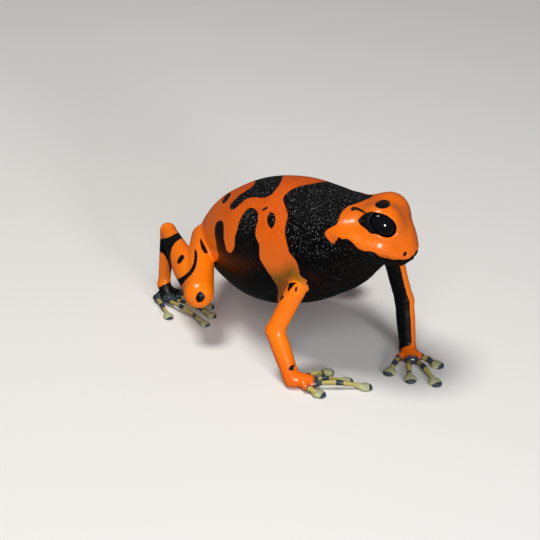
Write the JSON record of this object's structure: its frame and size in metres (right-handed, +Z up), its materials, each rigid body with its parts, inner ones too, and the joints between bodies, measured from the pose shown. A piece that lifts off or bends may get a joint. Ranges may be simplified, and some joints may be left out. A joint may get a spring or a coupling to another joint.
{
  "type": "poison dart frog",
  "caption": "Life-size orange and black banded dart frog standing high on straight arms with its head turned to its left, as a still model.",
  "frame": {"origin": "on the floor under the middle of the bounding box", "axes": "+Z up, -Y the way the body faces, +X the frog's left"},
  "size_m": [0.0252, 0.0408, 0.0234],
  "materials": {
    "orange_skin": "moist, smooth, bright orange",
    "black_skin": "finely granular, glossy black",
    "toe_skin": "smooth, pale grey-green with dark bands",
    "eye": "wet, near black"
  },
  "bodies": {
    "root": {"head": "orange_skin", "eye_left": "eye", "eye_right": "eye", "trunk": "black_skin", "upper_arm_left": "orange_skin", "upper_arm_right": "orange_skin", "forearm_left": "orange_skin", "forearm_right": "orange_skin", "palm_left": "orange_skin", "palm_right": "orange_skin", "finger_left_1": "toe_skin", "finger_left_2": "toe_skin", "finger_left_3": "toe_skin", "finger_left_4": "toe_skin", "finger_right_1": "toe_skin", "finger_right_2": "toe_skin", "finger_right_3": "toe_skin", "finger_right_4": "toe_skin", "thigh_left": "orange_skin", "thigh_right": "orange_skin", "shank_left": "orange_skin", "shank_right": "orange_skin", "tarsus_left": "orange_skin", "tarsus_right": "orange_skin", "foot_left": "black_skin", "foot_right": "black_skin", "toe_left_1": "toe_skin", "toe_left_2": "toe_skin", "toe_left_3": "toe_skin", "toe_left_4": "toe_skin", "toe_left_5": "toe_skin", "toe_right_1": "toe_skin", "toe_right_2": "toe_skin", "toe_right_3": "toe_skin", "toe_right_4": "toe_skin", "toe_right_5": "toe_skin"}
  },
  "joints": []
}
